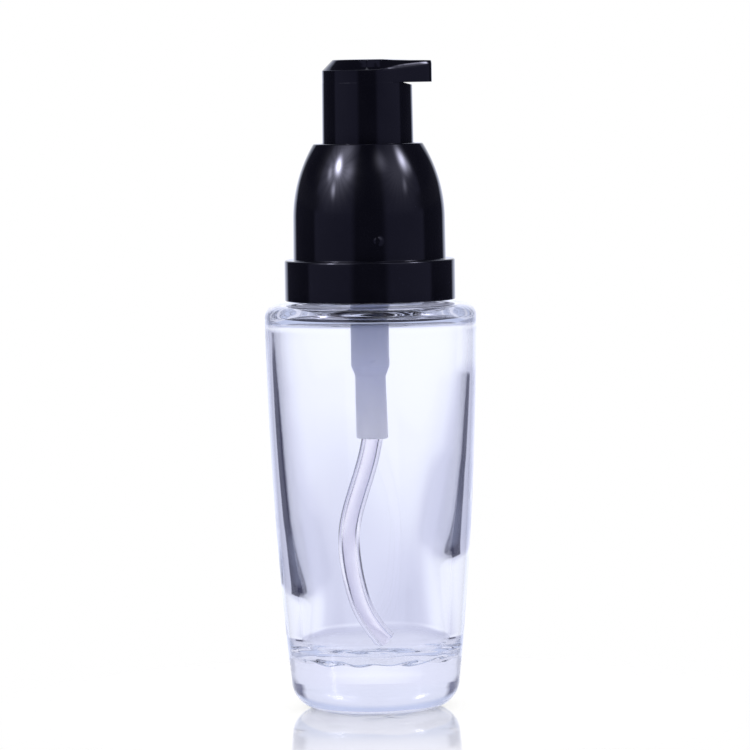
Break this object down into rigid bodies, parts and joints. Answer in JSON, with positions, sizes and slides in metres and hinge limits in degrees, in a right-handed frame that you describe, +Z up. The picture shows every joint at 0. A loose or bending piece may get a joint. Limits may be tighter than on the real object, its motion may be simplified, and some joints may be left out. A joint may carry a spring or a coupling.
{
  "type": "foundation bottle",
  "caption": "Tapered clear glass bottle with a thick base and a glossy black lotion pump: screw cap under a domed shell, spring-returned pump and dip tube.",
  "frame": {"origin": "centre of the base, on the surface the bottle stands on", "axes": "+Z up along the bottle's axis; the nozzle points to +X at rest"},
  "size_m": [0.035, 0.035, 0.1076],
  "materials": {
    "clear_glass": "clear polished flint glass",
    "black_gloss": "high gloss moulded black",
    "black_cap": "satin moulded black",
    "natural_pp": "milky translucent moulded",
    "white_pp": "satin moulded white",
    "tube_pe": "clear soft tube",
    "soft_pe": "soft moulded",
    "liner": "soft foam liner",
    "spring_steel": "drawn stainless wire",
    "ball": "polished stainless ball"
  },
  "bodies": {
    "bottle": {"bottle": "clear_glass"},
    "pump": {"pump_housing": "natural_pp", "chaplet": "white_pp", "neck_gasket": "liner", "dip_tube": "tube_pe"},
    "cap": {"outer_shell": "black_gloss", "screw_cap": "black_cap"},
    "spring": {"return_spring": "spring_steel"},
    "plunger": {"stem": "white_pp", "valve_rod": "white_pp", "actuator": "black_gloss"},
    "piston": {"piston": "soft_pe"},
    "ball": {"inlet_ball": "ball"}
  },
  "joints": [
    {"name": "pump_rise", "type": "slide", "parent": "bottle", "child": "pump", "axis": [0, 0, 1], "range_m": [0, 0.00398]},
    {"name": "cap_turn", "type": "hinge", "parent": "pump", "child": "cap", "pos_m": [0, 0, 0.0739], "axis": [0, 0, 1], "range_deg": [0, 450]},
    {"name": "head_swivel", "type": "hinge", "parent": "pump", "child": "spring", "pos_m": [0, 0, 0.064], "axis": [0, 0, 1], "continuous": true},
    {"name": "press", "type": "slide", "parent": "spring", "child": "plunger", "axis": [0, 0, -1], "range_m": [0, 0.006], "stiffness_N_per_m": 900, "springref_m": -0.006, "deforming": ["return_spring"]},
    {"name": "piston_follow", "type": "slide", "parent": "pump", "child": "piston", "axis": [0, 0, -1], "range_m": [0, 0.0052]},
    {"name": "ball_lift", "type": "slide", "parent": "pump", "child": "ball", "axis": [0, 0, 1], "range_m": [0, 0.0008]}
  ],
  "couplings": [
    {"joint": "pump_rise", "follows": "cap_turn", "m_per_rad": 0.00050532},
    {"joint": "piston_follow", "follows": "press", "ratio": 0.86}
  ]
}
